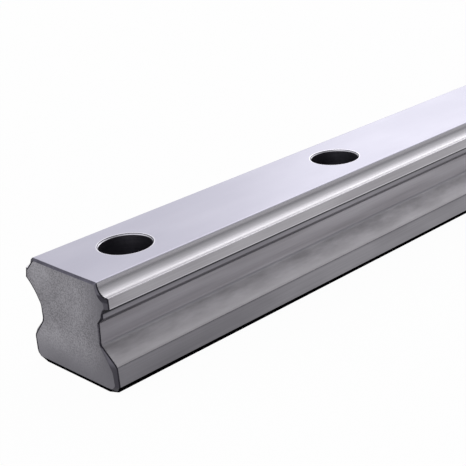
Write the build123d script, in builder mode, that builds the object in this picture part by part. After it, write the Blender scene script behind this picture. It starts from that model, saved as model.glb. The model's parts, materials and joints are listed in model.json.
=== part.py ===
# Profile rail of a linear guide: one bar of steel with a ball raceway above and below the nose on
# each side, a waisted web, a flared foot and a row of counterbored bolt holes along the middle.
# The rail lies on its foot along Y, with X across it and Z up. The origin is at the middle of its
# underside. All sizes are in millimetres.
from build123d import *
from math import isclose, sqrt
import os

# Row of bolt holes, which sets the length of the rail
hole_count = 6
hole_pitch = 80.0
end_margin = 20.0              # from each end face to the nearest hole
rail_length = (hole_count - 1) * hole_pitch + 2 * end_margin

# Bolt hole: a clearance bore with a counterbore that sinks the screw's head
bore_diameter = 9.0
counterbore_diameter = 14.0
counterbore_depth = 12.0
mouth_chamfer = 0.2

# Section as a whole
rail_width = 34.0              # across the noses, and across the foot
rail_height = 29.0

# Ball raceways: grooves of one radius, two on each side. The middle of each groove's arc lies
# this far in from the side of the nose, and this far below the top face.
raceway_radius = 2.85
upper_raceway_inset = 0.85
upper_raceway_depth = 0.45
lower_raceway_inset = 0.25
lower_raceway_depth = 9.0
top_edge_chamfer = 0.5
nose_edge_radius = 0.3

# Step under each lower raceway, then the web, which tapers slightly
raceway_lip = 0.3              # wall of the lower raceway below the middle of its arc
relief_width = 1.8
relief_height = 1.6
web_taper = 0.5
web_bottom_height = 12.1       # above the underside
web_fillet = 1.5

# Foot
foot_side_height = 7.7         # upper edge of the vertical side, above the underside
foot_edge_radius = 1.2
foot_chamfer_width = 1.8
foot_chamfer_height = 2.2

# Ends: a chamfer all round the section, and a wider bevel down the noses and the foot
end_chamfer = 0.6
end_bevel_width = 1.5
end_bevel_length = 0.7

half_width = rail_width / 2
upper_raceway_centre = Vector(half_width - upper_raceway_inset, rail_height - upper_raceway_depth)
lower_raceway_centre = Vector(half_width - lower_raceway_inset, rail_height - lower_raceway_depth)


def reach(offset):
    """How far a raceway's arc reaches to one side of its middle, at this offset along the other axis."""
    return sqrt(raceway_radius**2 - offset**2)


# Corners of the right half of the section, from the foot up: distance from the middle, and height
foot_bottom = (half_width - foot_chamfer_width, 0)
foot_side_bottom = (half_width, foot_chamfer_height)
foot_side_top = (half_width, foot_side_height)
neck_bottom = (lower_raceway_centre.X - reach(raceway_lip), lower_raceway_centre.Y - raceway_lip)
web_top = (neck_bottom[0] - relief_width, neck_bottom[1] - relief_height)
web_bottom = (web_top[0] - web_taper, web_bottom_height)
nose_bottom = (half_width, lower_raceway_centre.Y + reach(lower_raceway_inset))
nose_top = (half_width, upper_raceway_centre.Y - reach(upper_raceway_inset))
top_corner = (upper_raceway_centre.X - reach(upper_raceway_depth), rail_height)
deepest = Vector(-raceway_radius, 0)


def is_at(x, z, corner):
    """Whether a place is at this corner of the section, or at its mirror image."""
    return isclose(abs(x), corner[0], abs_tol=1e-4) and isclose(z, corner[1], abs_tol=1e-4)


def section_corners(corner):
    return [v for v in section.vertices() if is_at(v.X, v.Y, corner)]


def long_edges(corner):
    return [e for e in rail.edges().filter_by(Axis.Y) if is_at(e.center().X, e.center().Z, corner)]


# Section across the rail, drawn as its right half and mirrored
with BuildSketch() as section:
    with BuildLine():
        Polyline((0, 0), foot_bottom, foot_side_bottom, foot_side_top, web_bottom, web_top, neck_bottom)
        ThreePointArc(neck_bottom, lower_raceway_centre + deepest.rotate(Axis.Z, -45), nose_bottom)
        Line(nose_bottom, nose_top)
        ThreePointArc(nose_top, upper_raceway_centre + deepest.rotate(Axis.Z, 45), top_corner)
        Polyline(top_corner, (0, rail_height), (0, 0))
    make_face()
    mirror(about=Plane.YZ)
    fillet(section_corners(web_bottom), web_fillet)
    fillet(section_corners(foot_side_top), foot_edge_radius)

with BuildPart() as rail:
    # The bar, drawn out along Y to both sides of the middle
    with BuildSketch(Plane.XZ):
        add(section.sketch)
    extrude(amount=rail_length / 2, both=True)

    # Chamfer round both ends
    for end_face in (rail.faces().sort_by(Axis.Y)[0], rail.faces().sort_by(Axis.Y)[-1]):
        chamfer(end_face.outer_wire().edges(), end_chamfer)

    # Broken edges along the top face and the noses
    chamfer(long_edges(top_corner), top_edge_chamfer)
    fillet(long_edges(nose_top) + long_edges(nose_bottom), nose_edge_radius)

    # Bevel down both sides of each end
    with BuildSketch(Plane.XY):
        with BuildLine():
            Polyline(
                (half_width, rail_length / 2),
                (half_width - end_bevel_width, rail_length / 2),
                (half_width, rail_length / 2 - end_bevel_length),
                close=True,
            )
        make_face()
        mirror(about=Plane.YZ)
        mirror(about=Plane.XZ)
    extrude(amount=rail_height, mode=Mode.SUBTRACT)

    # Bolt holes, from the top face
    with Locations(Plane.XY.offset(rail_height)):
        with GridLocations(0, hole_pitch, 1, hole_count):
            CounterBoreHole(bore_diameter / 2, counterbore_diameter / 2, counterbore_depth)
            Cone(
                counterbore_diameter / 2,
                counterbore_diameter / 2 + mouth_chamfer,
                mouth_chamfer,
                align=(Align.CENTER, Align.CENTER, Align.MAX),
                mode=Mode.SUBTRACT,
            )

rail.part.label = "rail"

os.makedirs("parts", exist_ok=True)
export_step(rail.part, "parts/rail.step")

print("rail: length", rail_length, "volume", round(rail.part.volume), "mm3")
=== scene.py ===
import bpy
import bmesh
import json
import math
from mathutils import Matrix, Vector


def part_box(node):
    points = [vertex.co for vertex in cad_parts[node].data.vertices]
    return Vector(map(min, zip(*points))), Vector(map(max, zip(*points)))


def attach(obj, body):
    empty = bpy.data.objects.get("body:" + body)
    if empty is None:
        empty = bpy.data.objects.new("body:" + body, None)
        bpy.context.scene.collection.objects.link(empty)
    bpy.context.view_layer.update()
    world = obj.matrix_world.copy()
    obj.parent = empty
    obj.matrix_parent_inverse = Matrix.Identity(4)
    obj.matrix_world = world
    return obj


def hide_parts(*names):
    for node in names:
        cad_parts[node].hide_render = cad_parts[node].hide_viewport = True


# A length of profile rail for a linear guide, lying on its foot: the steel bar, its finishes and
# the photograph's view of it. Lengths are in millimetres until a mesh or a lamp is made.
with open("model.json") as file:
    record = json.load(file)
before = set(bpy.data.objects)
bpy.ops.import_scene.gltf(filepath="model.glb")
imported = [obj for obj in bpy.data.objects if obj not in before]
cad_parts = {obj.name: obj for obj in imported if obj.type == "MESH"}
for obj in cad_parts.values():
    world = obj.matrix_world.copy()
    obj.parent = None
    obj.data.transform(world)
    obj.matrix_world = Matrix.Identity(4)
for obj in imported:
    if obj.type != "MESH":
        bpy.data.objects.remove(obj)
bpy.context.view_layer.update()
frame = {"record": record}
MM = 0.001


def linear(hex_colour):
    """An sRGB hex colour as linear red, green, blue and alpha."""
    values = [int(hex_colour[i:i + 2], 16) / 255 for i in (1, 3, 5)]
    return [v / 12.92 if v <= 0.04045 else ((v + 0.055) / 1.055) ** 2.4 for v in values] + [1.0]


# Camera: it looks down the rail from beyond its near end and to the right of it
CAMERA_AIM = Vector((0, -163.2, 19.4))
CAMERA_AZIMUTH, CAMERA_ELEVATION, CAMERA_ROLL = 47.81, 21.43, -5.425
CAMERA_DISTANCE = 314.98
CAMERA_LENS = 88.43
CAMERA_SENSOR = 36
CAMERA_CLIP_START = 0.01       # in metres


def place_camera():
    azimuth, elevation = math.radians(CAMERA_AZIMUTH), math.radians(CAMERA_ELEVATION)
    back = Vector((
        math.sin(azimuth) * math.cos(elevation),
        -math.cos(azimuth) * math.cos(elevation),
        math.sin(elevation),
    ))
    camera = bpy.data.objects.new("camera", bpy.data.cameras.new("camera"))
    camera.data.lens = CAMERA_LENS
    camera.data.sensor_width = CAMERA_SENSOR
    camera.data.clip_start = CAMERA_CLIP_START
    turn = back.to_track_quat("Z", "Y").to_matrix()
    turn = turn @ Matrix.Rotation(math.radians(CAMERA_ROLL), 3, "Z")
    place = (CAMERA_AIM + back * CAMERA_DISTANCE) * MM
    camera.matrix_world = Matrix.Translation(place) @ turn.to_4x4()
    bpy.context.scene.collection.objects.link(camera)
    bpy.context.scene.camera = camera


# Section of the bar: sizes as in the CAD model, as distances from the middle and heights
half_width, half_length, height = Vector(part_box("rail")[1]) / MM

RACEWAY_RADIUS = 2.85
upper_raceway = Vector((half_width - 0.85, height - 0.45))
lower_raceway = Vector((half_width - 0.25, height - 9.0))
RACEWAY_LIP = 0.3


def reach(offset):
    """How far a raceway's arc reaches to one side of its middle, at this offset along the other axis."""
    return math.sqrt(RACEWAY_RADIUS**2 - offset**2)


foot_bottom = Vector((half_width - 1.8, 0))
foot_side_bottom = Vector((half_width, 2.2))
foot_side_top = Vector((half_width, 7.7))
neck_bottom = Vector((lower_raceway.x - reach(RACEWAY_LIP), lower_raceway.y - RACEWAY_LIP))
web_top = neck_bottom - Vector((1.8, 1.6))
web_bottom = Vector((web_top.x - 0.5, 12.1))
nose_bottom = Vector((half_width, lower_raceway.y + reach(half_width - lower_raceway.x)))
nose_top = Vector((half_width, upper_raceway.y - reach(half_width - upper_raceway.x)))
top_corner = Vector((upper_raceway.x - reach(height - upper_raceway.y), height))


# Small helpers for the nodes of materials and of the world
def add_node(tree, kind, settings=(), links=(), **inputs):
    """A new node with its settings, its own input values, and links into its inputs."""
    node = tree.nodes.new("ShaderNode" + kind)
    for name, value in dict(settings).items():
        setattr(node, name, value)
    for name, value in inputs.items():
        node.inputs[name.replace("_", " ")].default_value = value
    for name, source in dict(links).items():
        tree.links.new(source, node.inputs[name])
    return node


def new_material(name):
    material = bpy.data.materials.new(name)
    material.use_nodes = True
    material.node_tree.nodes.clear()
    return material


# Materials: two close tones laid out by soft patches and by a fine grain
PATCH_DETAIL, GRAIN_DETAIL = 2.0, 3.0
TONE_RANGE = (0.36, 0.64)      # values of the noise that the two tones are laid between
FEEL_RANGE = (0.3, 0.7)        # values of the noise that the roughness is laid between
ROUGHNESS_SPREAD = 0.04        # how much rougher or smoother the grain makes a surface


def marks(tree, place, size, detail):
    """A noise whose marks have a real size along X, Y and Z."""
    scaled = add_node(tree, "VectorMath", {"operation": "MULTIPLY"}, {0: place})
    scaled.inputs[1].default_value = [1 / (length * MM) for length in size]
    return add_node(tree, "TexNoise", links={"Vector": scaled.outputs[0]}, Scale=1.0, Detail=detail)


def stretch(tree, source, bottom, top, new_bottom=0.0, new_top=1.0, curve="LINEAR"):
    """A value between bottom and top as one between the two new ends."""
    return add_node(
        tree, "MapRange", {"interpolation_type": curve}, {"Value": source},
        From_Min=bottom, From_Max=top, To_Min=new_bottom, To_Max=new_top,
    ).outputs[0]


def blend(tree, factor, first, second):
    """A mix of two colours, each of them a hex value or a socket."""
    mix = add_node(tree, "Mix", {"data_type": "RGBA"}, {0: factor})
    for socket, colour in ((mix.inputs[6], first), (mix.inputs[7], second)):
        if isinstance(colour, str):
            socket.default_value = linear(colour)
        else:
            tree.links.new(colour, socket)
    return mix.outputs[2]


def finish(
    name, tones, roughness, patch, grain, grain_share=0.5, relief=0.0,
    fades=(), metallic=1.0, specular=0.5,
):
    """A surface in two close tones, with large soft patches and a fine grain that it also feels.

    patch and grain are the sizes of their marks along X, Y and Z, and relief is the grain's depth.
    Each fade is an axis, two places on it and the colour that the surface takes on between them."""
    material = new_material(name)
    tree = material.node_tree
    place = add_node(tree, "TexCoord").outputs["Object"]
    patches = stretch(tree, marks(tree, place, patch, PATCH_DETAIL).outputs[0], *TONE_RANGE)
    fine = marks(tree, place, grain, GRAIN_DETAIL).outputs[0]
    fine_tone = stretch(tree, fine, *TONE_RANGE)
    tone = add_node(tree, "Mix", {"data_type": "FLOAT"}, {2: patches, 3: fine_tone})
    tone.inputs[0].default_value = grain_share
    colour = blend(tree, tone.outputs[0], *tones)
    axes = add_node(tree, "SeparateXYZ", links={0: place}).outputs
    for axis, start, end, second in fades:
        share = stretch(tree, axes[axis], start * MM, end * MM, curve="SMOOTHSTEP")
        colour = blend(tree, share, colour, second)
    smoothest, roughest = roughness - ROUGHNESS_SPREAD, roughness + ROUGHNESS_SPREAD
    rough = stretch(tree, fine, *FEEL_RANGE, smoothest, roughest)
    links = {"Base Color": colour, "Roughness": rough}
    if relief:
        bump = add_node(tree, "Bump", links={"Height": fine}, Strength=1.0, Distance=relief * MM)
        links["Normal"] = bump.outputs[0]
    shader = add_node(
        tree, "BsdfPrincipled", links=links, Metallic=metallic, Specular_IOR_Level=specular,
    )
    add_node(tree, "OutputMaterial", links={"Surface": shader.outputs[0]})
    return material


# Grinding lines run along the bar. Real ones are some hundredths of a millimetre wide, too fine to
# show, so they are drawn three to five tenths of a millimetre wide.
ALONG = (0.35, 30, 0.35)
CLOUD = (9, 26, 9)             # soft patches that most of the faces share

materials = [
    # Top face, surface-ground bearing steel: a soft, faintly violet silver
    finish("ground_top", ("#bab8c5", "#c3c1cd"), 0.32, (12, 30, 12), ALONG, 0.35),
    # Upper ball raceways, profile-ground and polished: painted shade under the top edge, then brighter
    # down to a painted highlight, a thin near-white streak by the nose
    finish(
        "raceway_painted_shade_and_streak", ("#d2d0d3", "#dedcdf"), 0.4, CLOUD, (0.3, 40, 0.3), 0.5,
        fades=[
            # Painted shade under the top edge, which ends at the rounded edge itself
            ("Z", height - 2.1, height - 1.1, "#a6a4a9"),
            ("Z", height - 0.6, height - 0.1, "#d2d0d7"),
            # Painted highlight: a near-white streak at the bottom of the groove, by the nose
            ("Z", upper_raceway.y - 2.55, upper_raceway.y - 2.78, "#f6f4f6"),
        ],
    ),
    # Lower ball raceways, ground as well: dull grey, with painted shade that turns it nearly black close
    # under the nose
    finish(
        "lower_raceway", ("#78767c", "#88868c"), 0.32, CLOUD, (0.3, 40, 0.3), 0.5,
        fades=[("Z", nose_bottom.y - 2.2, nose_bottom.y - 1.7, "#2c2b30")],
    ),
    # Side of the nose, ground flat: grey with straight lines and a painted highlight along its lower
    # edge
    finish(
        "ground_nose_painted_edge_highlight", ("#98959a", "#acaaae"), 0.34, CLOUD, ALONG, 0.5,
        fades=[("Z", nose_bottom.y + 0.5, nose_bottom.y + 0.1, "#d6d4da")],
    ),
    # Side of the foot, the datum face, ground flat: an even grey, painted darker than the nose side as
    # shade so near the floor
    finish("ground_foot_painted_shade", ("#7c7a7f", "#8e8c91"), 0.34, CLOUD, ALONG, 0.4),
    # Web, cold-drawn and left as drawn: long flat streaks with a faint mauve cast
    finish("drawn_web", ("#878489", "#9f9ca2"), 0.42, (3, 45, 3), (0.5, 22, 0.5), 0.35, 0.004),
    # Flare of the foot, cold-drawn: soft bright clouds, even at its lower edge, with painted shade in
    # the crease by the web
    finish(
        "drawn_flare_and_crease_shade", ("#b4b1b4", "#dedbde"), 0.46, (4, 14, 4), (0.8, 3, 0.8), 0.3, 0.003,
        fades=[
            ("Z", foot_side_top.y + 3.0, foot_side_top.y - 1.2, "#d3d0d2"),
            # Painted shade in the crease by the web
            ("Z", web_bottom.y - 0.5, web_bottom.y, "#a8a6ac"),
        ],
    ),
    # Chamfer of the foot: near black and without shine, painted shade where the foot meets the floor
    finish(
        "near_black_painted_shade", ("#030304", "#0b0b0d"), 0.8, (2, 9, 2), (0.4, 1.5, 0.4), 0.5, 0.01,
        metallic=0.0, specular=0.0,
    ),
    # Underside, milled: plain grey
    finish("milled_underside", ("#a3a1a8", "#b3b1b8"), 0.36, CLOUD, (0.4, 0.9, 0.4), 0.5, 0.004),
    # Ends, cut by a cold saw: a fine stipple that fades to plain grey to the right and at the foot
    finish(
        "sawn_end", ("#777579", "#b4b2b7"), 0.45, (11, 11, 11), (0.42, 0.42, 0.42), 0.65, 0.05,
        fades=[("X", 5, 17, "#716f75"), ("Z", 11, 0, "#87858b")],
    ),
    # Broken edge along the top of each end, filed by hand: dark violet grey
    finish("filed_top_edge", ("#6a6873", "#83818d"), 0.4, (4, 4, 4), (0.5, 0.5, 0.5), 0.5, 0.01),
    # Broken edges down the sides of each end, filed by hand: dull dark grey, uneven in patches and
    # from one height to the next, with near-black bands of painted shade by the neck and the nose
    finish(
        "filed_edge_and_recess_shade", ("#504e55", "#78767e"), 0.42, (1.6, 1.6, 1.6), (0.4, 0.4, 0.4), 0.35, 0.02,
        fades=[
            ("Z", web_bottom.y + 0.3, web_bottom.y - 0.8, "#6e6c74"),
            ("Z", foot_side_top.y + 0.8, foot_side_top.y - 0.8, "#525057"),
            # The near-black fades by the neck and at the nose's top are painted shade of the recesses
            ("Z", web_top.y - 0.6, web_top.y + 0.1, "#3c3a40"),
            ("Z", nose_bottom.y - 2.2, nose_bottom.y - 1.6, "#5a585f"),
            ("Z", nose_top.y - 1.6, nose_top.y - 1.1, "#403e45"),
            ("Z", nose_top.y - 0.1, nose_top.y + 0.4, "#6a6870"),
        ],
    ),
    # Thin near-black line of painted shade where the filed edge meets the side, and round the mouth of
    # each hole
    finish(
        "painted_shade_line", ("#222126", "#3a383f"), 0.5, (2, 2, 2), (0.4, 0.4, 0.4), 0.4,
        metallic=0.0, specular=0.05,
    ),
    # Walls of the bolt holes, bored: grey with fine turned rings
    finish("bored_hole", ("#74727c", "#838189"), 0.4, CLOUD, (6, 6, 0.35), 0.6, 0.01),
    # Mouth of each bolt hole, chamfered with a countersink: a thin near-white ring, a painted highlight
    finish("mouth_painted_highlight", ("#e2e0e8", "#f2f0f6"), 0.25, (3, 3, 3), (0.4, 0.4, 0.4), 0.3),
]
FINISH_INDEX = {material.name: i for i, material in enumerate(materials)}

# Outlines of the bar's section and of its end faces, as stretches with a finish
ARC_POINTS = 27                # on each raceway's arc
BEND_POINTS = 5                # on each rounded corner


def arc(start, middle, end):
    """Points on the arc that starts, passes and ends at the three given points."""
    a, b = middle - start, end - start
    turn = 2 * (a.x * b.y - a.y * b.x)
    centre = start + Vector((
        (b.y * a.length_squared - a.y * b.length_squared) / turn,
        (a.x * b.length_squared - b.x * a.length_squared) / turn,
    ))
    spoke = start - centre
    sweep = spoke.angle_signed(middle - centre) + (middle - centre).angle_signed(end - centre)
    steps = [sweep * i / (ARC_POINTS - 1) for i in range(ARC_POINTS)]
    return [centre + Matrix.Rotation(-step, 2) @ spoke for step in steps]


def walk(points, distance):
    """The point at a distance along a line of points."""
    for a, b in zip(points, points[1:]):
        step = (b - a).length
        if distance <= step:
            break
        distance -= step
    return a.lerp(b, distance / step)


def shorten(points, from_start, from_end):
    """The same number of points, evenly spaced, on a line of points cut short at its two ends."""
    whole = sum((b - a).length for a, b in zip(points, points[1:]))
    rest = whole - from_start - from_end
    return [walk(points, from_start + rest * i / (len(points) - 1)) for i in range(len(points))]


def bend(start, corner, end):
    """Points between start and end that round the corner."""
    steps = [(i + 1) / (BEND_POINTS + 1) for i in range(BEND_POINTS)]
    return [start.lerp(corner, t).lerp(corner.lerp(end, t), t) for t in steps]


def outline(corners, roundings):
    """Half of an outline, from the middle of the underside to the middle of the top.

    Corners are two coordinates each, and a pair of them bends into an arc through its first point
    to its second. Each corner is rounded over the given length to both sides, or over two lengths."""
    stretches = []
    start = Vector(corners[0])
    for corner in corners[1:]:
        if len(corner) == 2 and not isinstance(corner[0], (int, float)):
            stretches.append(arc(start, Vector(corner[0]), Vector(corner[1])))
        else:
            stretches.append([start, Vector(corner)])
        start = stretches[-1][-1]
    cuts = [(0, 0), *[r if isinstance(r, tuple) else (r, r) for r in roundings], (0, 0)]
    runs = [shorten(points, cuts[i][1], cuts[i + 1][0]) for i, points in enumerate(stretches)]
    half = list(runs[0])
    for before, stretch_points, after in zip(runs, stretches, runs[1:]):
        half += bend(before[-1], stretch_points[-1], after[0]) + after
    return half


DEEPEST = RACEWAY_RADIUS * math.sqrt(0.5)   # from a raceway's middle to halfway along its arc
CORNER_START = 12.5            # from here out, the lower edge of each end is cut back further
SECTION = [
    (0, 0),
    (CORNER_START, 0),
    foot_bottom,
    foot_side_bottom,
    foot_side_top,
    web_bottom,
    web_top,
    neck_bottom,
    (lower_raceway + Vector((-DEEPEST, DEEPEST)), nose_bottom),
    nose_top,
    (upper_raceway + Vector((-DEEPEST, -DEEPEST)), top_corner),
    (0, height),
]
SECTION_ROUNDINGS = [0.5, 0.2, 0.25, 0.85, 0.79, 0.35, 0.12, 0.3, (0.3, 1.1), 0.6]

# Finish of each stretch of the section, and how many points the stretch has
FINISH_OF = [
    "milled_underside", "milled_underside", "near_black_painted_shade", "ground_foot_painted_shade", "drawn_flare_and_crease_shade", "drawn_web",
    "lower_raceway", "lower_raceway", "ground_nose_painted_edge_highlight", "raceway_painted_shade_and_streak", "ground_top",
]
POINTS_OF = [2, 2, 2, 2, 2, 2, 2, ARC_POINTS, 2, ARC_POINTS, 2]

# The end face inside its broken edges, which were filed by hand and differ from side to side
END_FACE_RIGHT = [
    (0, 0.8),
    (12.2, 0.8),
    (14.1, 0.9),
    (15.5, 2.2),
    (15.3, 6.1),
    (11.35, 12.1),
    (11.75, 18.0),
    (13.5, 19.9),
    ((14.2, 21.7), (15.4, 22.9)),
    (15.4, 24.3),
    ((13.4, 25.7), (12.75, 28.35)),
    (0, 28.35),
]
END_FACE_LEFT = [
    (0, 0.8),
    (12.5, 0.8),
    (15.6, 0.7),
    (16.6, 1.6),
    (16.65, 6.8),
    (11.7, 12.4),
    (11.85, 16.7),
    (13.2, 19.5),
    ((14.6, 21.3), (16.5, 23.1)),
    (16.1, 25.1),
    ((14.75, 26.3), (12.6, 28.45)),
    (0, 28.35),
]
END_FACE_ROUNDINGS = [0.5, 0.5, 0.6, 0.8, 1.2, 0.5, 0.3, 0.4, 0.4, 0.5]

# Each broken edge from the section to the end face, in steps: share of the way in and what is
# added inwards, share of its length along the bar and what is added to that, and the finish up to
# the next step
EDGE_RIGHT = [
    (0.0, 0.0, 1.0, 0.1, "painted_shade_line"),
    (0.0, 0.32, 0.9, -0.1, "filed_edge_and_recess_shade"),
    (0.93, 0.0, 0.05, 0.0, "filed_edge_and_recess_shade"),
    (1.05, 0.0, 0.0, 0.0, None),
]
EDGE_LEFT = [
    (0.0, 0.0, 1.1, 0.0, "filed_edge_and_recess_shade"),
    (0.08, 0.0, 0.9, 0.0, "filed_edge_and_recess_shade"),
    (1.0, 0.0, 0.05, 0.0, "painted_shade_line"),
    (1.0, 0.55, 0.0, 0.0, None),
]
EDGE_TOP = [
    (0.0, 0.0, 1.1, 0.0, "ground_top"),
    (0.05, 0.0, 0.93, 0.0, "filed_top_edge"),
    (0.93, 0.0, 0.05, 0.0, "filed_top_edge"),
    (1.05, 0.0, 0.0, 0.0, None),
]
EDGE_CHAMFER = [
    (0.0, 0.0, 1.0, 0.1, "near_black_painted_shade"),
    (0.0, 0.3, 0.85, 0.0, "filed_edge_and_recess_shade"),
    (0.93, 0.0, 0.05, 0.0, "filed_edge_and_recess_shade"),
    (1.05, 0.0, 0.0, 0.0, None),
]
EDGE_UNDER = [
    (0.0, 0.0, 1.1, 0.0, "near_black_painted_shade"),
    (0.05, 0.0, 0.93, 0.0, "near_black_painted_shade"),
    (0.93, 0.0, 0.05, 0.0, "near_black_painted_shade"),
    (1.05, 0.0, 0.0, 0.0, None),
]

# Length of a broken edge along the bar. It starts from the least one and grows with the gap between
# the section and the end face, on the left with the cube of that gap, up to the most.
LEAST_RIGHT, GROWTH_RIGHT, MOST_RIGHT = 0.22, 0.6, 0.42
LEAST_LEFT, MOST_LEFT = 0.08, 2.4
LENGTH_UNDER = 0.06
SMALLEST_GAP = 0.05            # the direction inwards is scaled down below this gap
CORNER_CUT = 1.1               # how much further each end is cut back at the bottom corners
CORNER_HEIGHT = 1.5            # up to where that cut reaches


def broken_edge(p, q, surface, on_left):
    """The steps of the broken edge between a point of the section and one of the end face, the
    direction inwards, and the edge's length."""
    gap = (q - p).length
    inwards = (q - p) / max(gap, SMALLEST_GAP)
    if surface == "milled_underside":
        share = max(0, abs(p.x) - CORNER_START) / (foot_bottom.x - CORNER_START)
        return EDGE_UNDER, inwards, LENGTH_UNDER + CORNER_CUT * share**2
    if on_left:
        return EDGE_LEFT, Vector((1, 0)), min(LEAST_LEFT + gap**3, MOST_LEFT)
    length = min(LEAST_RIGHT + GROWTH_RIGHT * gap, MOST_RIGHT)
    if surface == "ground_top":
        return EDGE_TOP, inwards, length
    if surface == "near_black_painted_shade":
        cut = max(0, 1 - p.y / CORNER_HEIGHT) * (CORNER_CUT - MOST_RIGHT)
        return EDGE_CHAMFER, inwards, length + cut
    return EDGE_RIGHT, inwards, length


def stretch_numbers():
    """Which stretch each piece of an outline's half belongs to, with its share of the bends."""
    numbers = []
    for i, points in enumerate(POINTS_OF):
        if i:
            numbers += [i - 1] * (BEND_POINTS // 2 + 1) + [i] * (BEND_POINTS // 2 + 1)
        numbers += [i] * (points - 1)
    return numbers


def both_sides(right, left):
    """A closed outline from two halves, the second of them turned over to the left."""
    return right + [Vector((-p.x, p.y)) for p in left[-2:0:-1]]


def build_bar():
    """The bar without its holes: rings of points from one end face to the other."""
    half = outline(SECTION, SECTION_ROUNDINGS)
    right = outline(END_FACE_RIGHT, END_FACE_ROUNDINGS)
    left = outline(END_FACE_LEFT, END_FACE_ROUNDINGS)
    section = both_sides(half, half)
    numbers = stretch_numbers()
    numbers += numbers[::-1]
    count = len(section)
    mesh = bmesh.new()
    rings = []
    bands = []
    for end in (-1, 1):
        end_face = both_sides(right, left if end == -1 else right)
        on_left = [end == -1 and p.x < 0 for p in section]
        steps = []
        for step in range(len(EDGE_RIGHT)):
            ring, names = [], []
            for i, (p, q) in enumerate(zip(section, end_face)):
                edge, inwards, length = broken_edge(p, q, FINISH_OF[numbers[i]], on_left[i])
                share, added_in, along, added_along, name = edge[step]
                names.append(name)
                spot = p.lerp(q, share) + inwards * added_in
                y = end * (half_length - length * along - added_along)
                ring.append(mesh.verts.new(Vector((spot.x, y, spot.y)) * MM))
            steps.append((ring, names))
        if end == -1:
            steps.reverse()
            bands += [names for ring, names in steps[1:]]
            bands.append([FINISH_OF[number] for number in numbers])
        else:
            bands += [names for ring, names in steps[:-1]]
        rings += [ring for ring, names in steps]
    for ring, after, names in zip(rings, rings[1:], bands):
        for i in range(count):
            j = (i + 1) % count
            face = mesh.faces.new((ring[i], ring[j], after[j], after[i]))
            face.material_index = FINISH_INDEX[names[i]]
    for ring in (rings[0], rings[-1]):
        mesh.faces.new(ring).material_index = FINISH_INDEX["sawn_end"]
    bmesh.ops.recalc_face_normals(mesh, faces=mesh.faces)
    return mesh


# Bolt holes, where the record's mounts have them
HOLE_SIDES = 96
BORE, COUNTERBORE, COUNTERBORE_DEPTH = 4.5, 7.0, 12.0
FLOOR_CORNER = 0.3             # bevel round the floor of the counterbore
BORE_EDGE = 0.2                # broken edge at the top of the bore
BORE_MOUTH = 0.3               # chamfer at its lower end
OVERSHOOT = 0.5                # how far a cutter stands out below the bar

# Rings round the mouth of each counterbore: added to its radius, height above the top face, and the
# finish down to the next ring
MOUTH_RINGS = [
    (0.95, 0.06, "mouth_painted_highlight"),
    (0.26, -0.04, "painted_shade_line"),
    (0.21, -0.22, "mouth_painted_highlight"),
    (0.0, -0.44, "bored_hole"),
]

hole_places = []               # along the bar
for mount in frame["record"]["mounts"]:
    if mount["kind"] == "bolt_pattern":
        half_spacing = mount["dims"]["spacing_y_mm"] / 2
        hole_places += [-half_spacing, half_spacing]


def build_cutters():
    """Solids that cut the counterbored holes, each turned from one profile of radii and heights."""
    floor = height - COUNTERBORE_DEPTH
    profile = [(COUNTERBORE + added, height + above, name) for added, above, name in MOUTH_RINGS]
    profile += [(radius, z, "bored_hole") for radius, z in (
        (COUNTERBORE, floor + FLOOR_CORNER),
        (COUNTERBORE - FLOOR_CORNER, floor),
        (BORE + BORE_EDGE, floor),
        (BORE, floor - BORE_EDGE),
        (BORE, BORE_MOUTH),
        (BORE + BORE_MOUTH + OVERSHOOT, -OVERSHOOT),
    )]
    mesh = bmesh.new()
    for y in hole_places:
        rings = []
        for radius, z, name in profile:
            ring = []
            for i in range(HOLE_SIDES):
                angle = 2 * math.pi * i / HOLE_SIDES
                spot = Vector((radius * math.cos(angle), y + radius * math.sin(angle), z))
                ring.append(mesh.verts.new(spot * MM))
            rings.append(ring)
        for ring, after, (radius, z, name) in zip(rings, rings[1:], profile):
            for i in range(HOLE_SIDES):
                j = (i + 1) % HOLE_SIDES
                face = mesh.faces.new((ring[i], ring[j], after[j], after[i]))
                face.material_index = FINISH_INDEX[name]
        for ring in (rings[0], rings[-1]):
            mesh.faces.new(ring)
    bmesh.ops.recalc_face_normals(mesh, faces=mesh.faces)
    return mesh


def new_object(name, mesh):
    data = bpy.data.meshes.new(name)
    mesh.to_mesh(data)
    mesh.free()
    thing = bpy.data.objects.new(name, data)
    bpy.context.scene.collection.objects.link(thing)
    for material in materials:
        data.materials.append(material)
    return thing


SHARP_ANGLE = 32               # edges that turn by more degrees stay sharp


def make_rail():
    bar = new_object("rail_bar", build_bar())
    cutters = new_object("hole_cutters", build_cutters())
    cut = bar.modifiers.new("bolt_holes", "BOOLEAN")
    cut.operation = "DIFFERENCE"
    cut.solver = "EXACT"
    cut.object = cutters
    bpy.context.view_layer.update()
    depsgraph = bpy.context.evaluated_depsgraph_get()
    data = bpy.data.meshes.new_from_object(bar.evaluated_get(depsgraph))
    bar.modifiers.clear()
    bar.data = data
    bpy.data.objects.remove(cutters)
    data.shade_smooth()
    data.set_sharp_from_angle(angle=math.radians(SHARP_ANGLE))
    weighted = bar.modifiers.new("flat_faces_lead", "WEIGHTED_NORMAL")
    weighted.keep_sharp = True
    return bar


rail_bar = make_rail()
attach(rail_bar, "root")
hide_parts("rail")

place_camera()

# Floor: white to the camera, with the bar's soft shadow still on it; in the steel's reflections white
# further along the bar and, as painted shade, dimmer towards its near end; clear from below, so that the
# underside shows too
FLOOR_REACH = 6.0              # in metres
FLOOR_GAP = 0.05               # below the bar, too little to see
FLOOR_WHITE = 0.97             # share of plain white in what the camera sees
# Painted shade: in the steel's reflections only, the floor is darker towards the bar's near end
DIM_NEAR, DIM_SHARE = -230, 0.34   # where the floor is dimmest in the steel's reflections
BRIGHT_FAR, BRIGHT_SHARE = -100, 0.98   # where it is brightest


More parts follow.
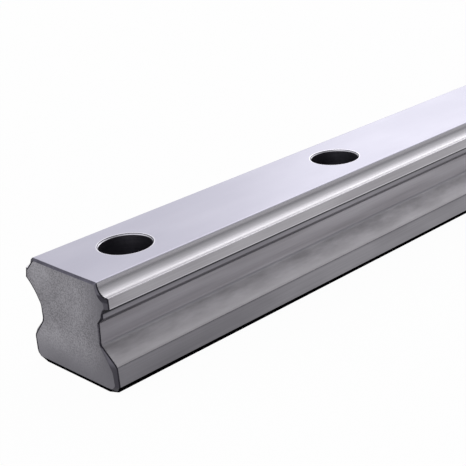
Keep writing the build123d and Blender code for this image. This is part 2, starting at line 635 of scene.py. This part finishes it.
def make_floor():
    mesh = bpy.data.meshes.new("floor")
    corners = [(-1, -1), (1, -1), (1, 1), (-1, 1)]
    mesh.from_pydata([(x * FLOOR_REACH, y * FLOOR_REACH, 0) for x, y in corners], [], [(0, 1, 2, 3)])
    floor = bpy.data.objects.new("floor", mesh)
    floor.location.z = -FLOOR_GAP * MM
    bpy.context.scene.collection.objects.link(floor)
    material = new_material("white_paper")
    tree = material.node_tree
    path = add_node(tree, "LightPath").outputs
    place = add_node(tree, "TexCoord").outputs["Object"]
    y = add_node(tree, "SeparateXYZ", links={0: place}).outputs["Y"]
    mirrored = stretch(tree, y, DIM_NEAR * MM, BRIGHT_FAR * MM, DIM_SHARE, BRIGHT_SHARE, "SMOOTHSTEP")
    glossy, through = path["Is Glossy Ray"], path["Is Transmission Ray"]
    rays = add_node(tree, "Math", {"operation": "ADD"}, {0: glossy, 1: through})
    mirrored = add_node(tree, "Math", {"operation": "MULTIPLY"}, {0: rays.outputs[0], 1: mirrored})
    links = {0: path["Is Camera Ray"], 2: mirrored.outputs[0]}
    share = add_node(tree, "Math", {"operation": "MULTIPLY_ADD"}, links)
    share.inputs[1].default_value = FLOOR_WHITE
    paper = add_node(tree, "BsdfDiffuse", Color=linear("#f6f6f6"))
    white = add_node(tree, "Emission", Color=linear("#ffffff"), Strength=1.0)
    links = {0: share.outputs[0], 1: paper.outputs[0], 2: white.outputs[0]}
    mixed = add_node(tree, "MixShader", links=links)
    from_below = add_node(tree, "NewGeometry").outputs["Backfacing"]
    clear = add_node(tree, "BsdfTransparent")
    links = {0: from_below, 1: mixed.outputs[0], 2: clear.outputs[0]}
    one_sided = add_node(tree, "MixShader", links=links)
    add_node(tree, "OutputMaterial", links={"Surface": one_sided.outputs[0]})
    mesh.materials.append(material)


make_floor()

# Studio light: a soft wide glow from behind the bar and to its left, a somewhat weaker one from the
# front, and a dim room around them. The camera sees a plain white sky instead.
GLOW_FROM = Vector((-0.4, 0.84, 0.31)).normalized()
GLOW_STRENGTH = 0.97
GLOW_FALLOFF = 1.6
FILL_FROM = Vector((0.1, -0.95, 0.3)).normalized()
FILL_STRENGTH = 0.8
FILL_FALLOFF = 1.5
ROOM_STRENGTH = 0.22
SKY_SEEN = 1.0                 # strength of the sky to the camera


def glow(tree, direction, source, falloff, strength, rest):
    """Light that is strongest from its source and falls off around it, added to the rest."""
    towards = add_node(tree, "VectorMath", {"operation": "DOT_PRODUCT"}, {0: direction})
    towards.inputs[1].default_value = source
    facing = add_node(tree, "Math", {"operation": "MAXIMUM"}, {0: towards.outputs["Value"]})
    facing.inputs[1].default_value = 0.0
    narrowed = add_node(tree, "Math", {"operation": "POWER"}, {0: facing.outputs[0]})
    narrowed.inputs[1].default_value = falloff
    total = add_node(tree, "Math", {"operation": "MULTIPLY_ADD"}, {0: narrowed.outputs[0]})
    total.inputs[1].default_value = strength
    if isinstance(rest, float):
        total.inputs[2].default_value = rest
    else:
        tree.links.new(rest, total.inputs[2])
    return total.outputs[0]


def make_world():
    world = bpy.data.worlds.new("studio")
    bpy.context.scene.world = world
    world.use_nodes = True
    tree = world.node_tree
    tree.nodes.clear()
    direction = add_node(tree, "TexCoord").outputs["Generated"]
    fill = glow(tree, direction, FILL_FROM, FILL_FALLOFF, FILL_STRENGTH, ROOM_STRENGTH)
    strength = glow(tree, direction, GLOW_FROM, GLOW_FALLOFF, GLOW_STRENGTH, fill)
    to_camera = add_node(tree, "LightPath").outputs["Is Camera Ray"]
    seen = add_node(tree, "Mix", {"data_type": "FLOAT"}, {0: to_camera, 2: strength})
    seen.inputs[3].default_value = SKY_SEEN
    sky = add_node(tree, "Background", links={"Strength": seen.outputs[0]}, Color=linear("#fbfbff"))
    add_node(tree, "OutputWorld", links={"Surface": sky.outputs[0]})


make_world()


def area_lamp(name, direction, distance, size, power):
    """A square lamp that shines on the bar from a direction. Distance and size are in metres."""
    data = bpy.data.lights.new(name, "AREA")
    data.size = size
    data.energy = power
    lamp = bpy.data.objects.new(name, data)
    aim = CAMERA_AIM * MM
    lamp.location = aim + Vector(direction).normalized() * distance
    lamp.rotation_euler = Vector(direction).to_track_quat("Z", "Y").to_euler()
    bpy.context.scene.collection.objects.link(lamp)


area_lamp("softbox", (-0.3, 0.75, 0.6), distance=1.5, size=1.2, power=2.8)

bpy.context.scene.view_settings.view_transform = "Standard"
